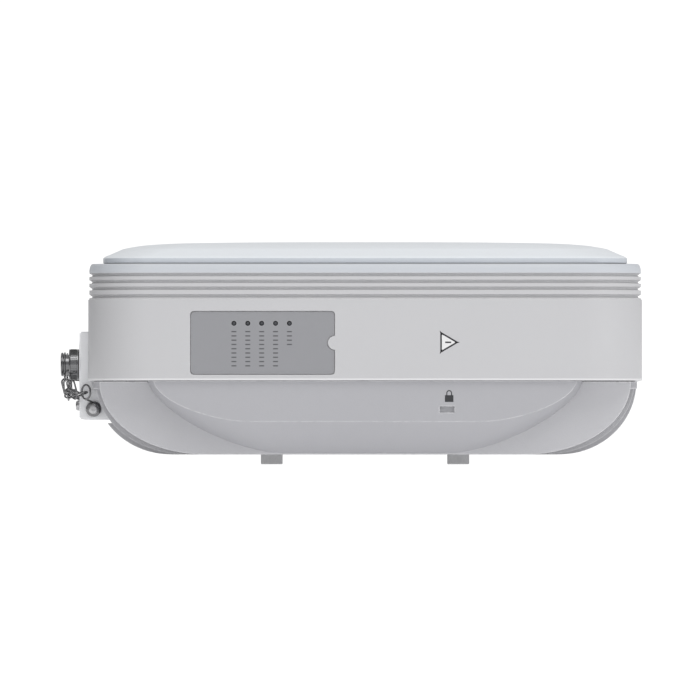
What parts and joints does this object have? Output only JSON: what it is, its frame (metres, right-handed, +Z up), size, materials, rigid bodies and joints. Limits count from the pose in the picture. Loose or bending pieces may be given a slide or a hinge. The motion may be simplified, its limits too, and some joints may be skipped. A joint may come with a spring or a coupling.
{
  "type": "outdoor optical network terminal",
  "caption": "Outdoor wireless optical network terminal: ribbed die-cast base, plastic housing with indicator label, domed radome, and round ports with chained metal dust caps",
  "frame": {"origin": "under the middle of the whole object's bounding box, at the end faces of the mounting bosses it rests on", "axes": "+Z up through the radome, -X towards the ports and their caps, -Y towards the side with the indicator label"},
  "size_m": [0.2733, 0.2598, 0.105],
  "materials": {
    "base_paint": "die-cast, light grey powder coat",
    "panel_paint": "die-cast, light grey powder coat",
    "housing_plastic": "fine moulded texture",
    "radome_plastic": "satin moulded white",
    "seal_rubber": "black elastomer",
    "label_film": "printed grey film",
    "light_guide_acrylic": "smoked clear acrylic",
    "circuit_board": "green solder mask",
    "flex_film": "amber film",
    "shield_tin": "tinned sheet",
    "heat_pad_silicone": "soft silicone",
    "transformer_resin": "black resin",
    "reflector_sheet": "bare sheet",
    "patch_brass": "plain sheet",
    "insert_nylon": "black glass-filled nylon",
    "screw_stainless": "stainless",
    "chrome_metal": "bright nickel-chrome plating"
  },
  "bodies": {
    "terminal": {"antenna_reflector": "reflector_sheet", "cover_screw_1": "screw_stainless", "cover_screw_2": "screw_stainless", "cover_screw_3": "screw_stainless", "cover_screw_4": "screw_stainless", "front_housing": "housing_plastic", "ground_screw": "screw_stainless", "heat_sink_base": "base_paint", "housing_gasket": "seal_rubber", "led_board": "circuit_board", "led_label": "label_film", "led_light_guide": "light_guide_acrylic", "main_board": "circuit_board", "optical_module": "shield_tin", "panel_screw_1": "screw_stainless", "panel_screw_2": "screw_stainless", "patch_antenna_1": "patch_brass", "patch_antenna_2": "patch_brass", "patch_antenna_3": "patch_brass", "patch_antenna_4": "patch_brass", "port_1_collar": "chrome_metal", "port_1_insert": "insert_nylon", "port_1_lug": "chrome_metal", "port_1_lug_screw": "screw_stainless", "port_2_collar": "chrome_metal", "port_2_insert": "insert_nylon", "port_2_lug": "chrome_metal", "port_2_lug_screw": "screw_stainless", "port_3_collar": "chrome_metal", "port_3_insert": "insert_nylon", "port_3_lug": "chrome_metal", "port_3_lug_screw": "screw_stainless", "port_board": "circuit_board", "port_flex_cable": "flex_film", "port_panel": "panel_paint", "port_panel_gasket": "seal_rubber", "power_transformer": "transformer_resin", "radome_cover": "radome_plastic", "radome_gasket": "seal_rubber", "rf_shield_can": "shield_tin", "thermal_pad": "heat_pad_silicone"},
    "port_1_seal_carrier": {"port_1_cap_seal": "seal_rubber"},
    "port_1_cap": {"port_1_cap": "chrome_metal"},
    "port_1_tether_ring": {"port_1_tether_ring": "chrome_metal"},
    "port_1_link_1": {"port_1_chain_link_1": "chrome_metal"},
    "port_1_link_2": {"port_1_chain_link_2": "chrome_metal"},
    "port_1_link_3": {"port_1_chain_link_3": "chrome_metal"},
    "port_2_seal_carrier": {"port_2_cap_seal": "seal_rubber"},
    "port_2_cap": {"port_2_cap": "chrome_metal"},
    "port_2_tether_ring": {"port_2_tether_ring": "chrome_metal"},
    "port_2_link_1": {"port_2_chain_link_1": "chrome_metal"},
    "port_2_link_2": {"port_2_chain_link_2": "chrome_metal"},
    "port_2_link_3": {"port_2_chain_link_3": "chrome_metal"},
    "port_3_seal_carrier": {"port_3_cap_seal": "seal_rubber"},
    "port_3_cap": {"port_3_cap": "chrome_metal"},
    "port_3_tether_ring": {"port_3_tether_ring": "chrome_metal"},
    "port_3_link_1": {"port_3_chain_link_1": "chrome_metal"},
    "port_3_link_2": {"port_3_chain_link_2": "chrome_metal"},
    "port_3_link_3": {"port_3_chain_link_3": "chrome_metal"}
  },
  "joints": [
    {"name": "port_1_cap_travel", "type": "slide", "parent": "terminal", "child": "port_1_seal_carrier", "axis": [-1, 0, 0], "range_m": [0, 0.00125]},
    {"name": "port_1_cap_spin", "type": "hinge", "parent": "port_1_seal_carrier", "child": "port_1_cap", "pos_m": [-0.12755, -0.077, 0.047], "axis": [-1, 0, 0], "range_deg": [0, 450]},
    {"name": "port_1_ring_swivel", "type": "hinge", "parent": "terminal", "child": "port_1_tether_ring", "pos_m": [-0.13455, -0.077, 0.047], "axis": [-1, 0, 0], "range_deg": [-1.5, 1.5]},
    {"name": "port_1_link_1_swing", "type": "hinge", "parent": "port_1_tether_ring", "child": "port_1_link_1", "pos_m": [-0.13455, -0.0809, 0.04025], "axis": [0.7159, 0.6562, -0.2386], "range_deg": [-1.8, 1.8]},
    {"name": "port_1_link_2_swing", "type": "hinge", "parent": "port_1_link_1", "child": "port_1_link_2", "pos_m": [-0.13301, -0.08473, 0.03434], "axis": [0.7159, 0.6562, -0.2386], "range_deg": [-1.8, 1.8]},
    {"name": "port_1_link_3_swing", "type": "hinge", "parent": "port_1_link_2", "child": "port_1_link_3", "pos_m": [-0.12938, -0.0895, 0.03212], "axis": [0.7159, 0.6562, -0.2386], "range_deg": [-1.8, 1.8]},
    {"name": "port_2_cap_travel", "type": "slide", "parent": "terminal", "child": "port_2_seal_carrier", "axis": [-1, 0, 0], "range_m": [0, 0.00125]},
    {"name": "port_2_cap_spin", "type": "hinge", "parent": "port_2_seal_carrier", "child": "port_2_cap", "pos_m": [-0.12755, 0, 0.047], "axis": [-1, 0, 0], "range_deg": [0, 450]},
    {"name": "port_2_ring_swivel", "type": "hinge", "parent": "terminal", "child": "port_2_tether_ring", "pos_m": [-0.13455, 0, 0.047], "axis": [-1, 0, 0], "range_deg": [-1.5, 1.5]},
    {"name": "port_2_link_1_swing", "type": "hinge", "parent": "port_2_tether_ring", "child": "port_2_link_1", "pos_m": [-0.13455, 0.0039, 0.04025], "axis": [-0.9989, 0.046, 0], "range_deg": [-1.8, 1.8]},
    {"name": "port_2_link_2_swing", "type": "hinge", "parent": "port_2_link_1", "child": "port_2_link_2", "pos_m": [-0.13441, 0.00696, 0.03373], "axis": [-0.9989, 0.046, 0], "range_deg": [-1.8, 1.8]},
    {"name": "port_2_link_3_swing", "type": "hinge", "parent": "port_2_link_2", "child": "port_2_link_3", "pos_m": [-0.13413, 0.01311, 0.03201], "axis": [-0.9989, 0.046, 0], "range_deg": [-1.8, 1.8]},
    {"name": "port_3_cap_travel", "type": "slide", "parent": "terminal", "child": "port_3_seal_carrier", "axis": [-1, 0, 0], "range_m": [0, 0.00125]},
    {"name": "port_3_cap_spin", "type": "hinge", "parent": "port_3_seal_carrier", "child": "port_3_cap", "pos_m": [-0.12755, 0.077, 0.047], "axis": [-1, 0, 0], "range_deg": [0, 450]},
    {"name": "port_3_ring_swivel", "type": "hinge", "parent": "terminal", "child": "port_3_tether_ring", "pos_m": [-0.13455, 0.077, 0.047], "axis": [-1, 0, 0], "range_deg": [-1.5, 1.5]},
    {"name": "port_3_link_1_swing", "type": "hinge", "parent": "port_3_tether_ring", "child": "port_3_link_1", "pos_m": [-0.13455, 0.0809, 0.04025], "axis": [-0.7159, 0.6562, 0.2386], "range_deg": [-1.8, 1.8]},
    {"name": "port_3_link_2_swing", "type": "hinge", "parent": "port_3_link_1", "child": "port_3_link_2", "pos_m": [-0.13301, 0.08473, 0.03434], "axis": [-0.7159, 0.6562, 0.2386], "range_deg": [-1.8, 1.8]},
    {"name": "port_3_link_3_swing", "type": "hinge", "parent": "port_3_link_2", "child": "port_3_link_3", "pos_m": [-0.12938, 0.0895, 0.03212], "axis": [-0.7159, 0.6562, 0.2386], "range_deg": [-1.8, 1.8]}
  ],
  "couplings": [
    {"joint": "port_1_cap_spin", "follows": "port_1_cap_travel", "rad_per_m": 6283.2},
    {"joint": "port_2_cap_spin", "follows": "port_2_cap_travel", "rad_per_m": 6283.2},
    {"joint": "port_3_cap_spin", "follows": "port_3_cap_travel", "rad_per_m": 6283.2}
  ]
}
